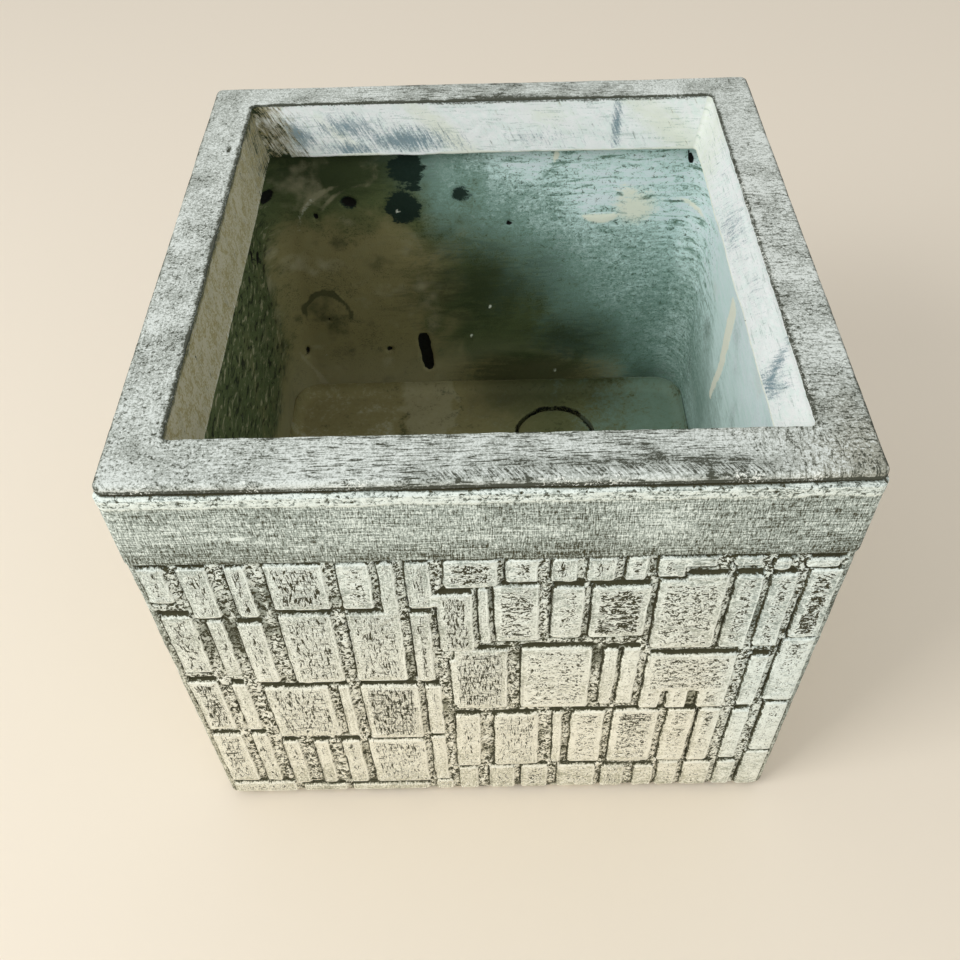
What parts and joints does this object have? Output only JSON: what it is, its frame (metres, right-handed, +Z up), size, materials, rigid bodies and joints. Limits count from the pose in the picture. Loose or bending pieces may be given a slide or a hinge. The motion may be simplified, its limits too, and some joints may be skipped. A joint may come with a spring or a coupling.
{
  "type": "planter box",
  "caption": "Square cast planter box with a raised mosaic on all sides, a thick rim with an inner lip, and a loose drain plug in its floor.",
  "frame": {"origin": "on the ground under the centre of the square box", "axes": "+Z up out of the opening; -Y is the front face, +X is to its right"},
  "size_m": [0.3024, 0.3024, 0.268],
  "materials": {
    "wall_cement": "cast fibre cement, dark grey-green with a pale cream dry brushing on the raised tiles",
    "rim_cement": "brushed grey-green cement",
    "lining_cement": "pale mint wash over cement with blue-grey brush marks",
    "floor_cement": "dark damp cement",
    "plug_cement": "dark damp cement"
  },
  "bodies": {
    "planter": {"wall_front": "wall_cement", "wall_right": "wall_cement", "wall_back": "wall_cement", "wall_left": "wall_cement", "floor_slab": "floor_cement", "rim_cap": "rim_cement", "rim_lining": "lining_cement"},
    "plug": {"drain_plug": "plug_cement"}
  },
  "joints": [
    {"name": "plug_lift", "type": "slide", "parent": "planter", "child": "plug", "axis": [0, 0, 1], "range_m": [0, 0.25]}
  ]
}
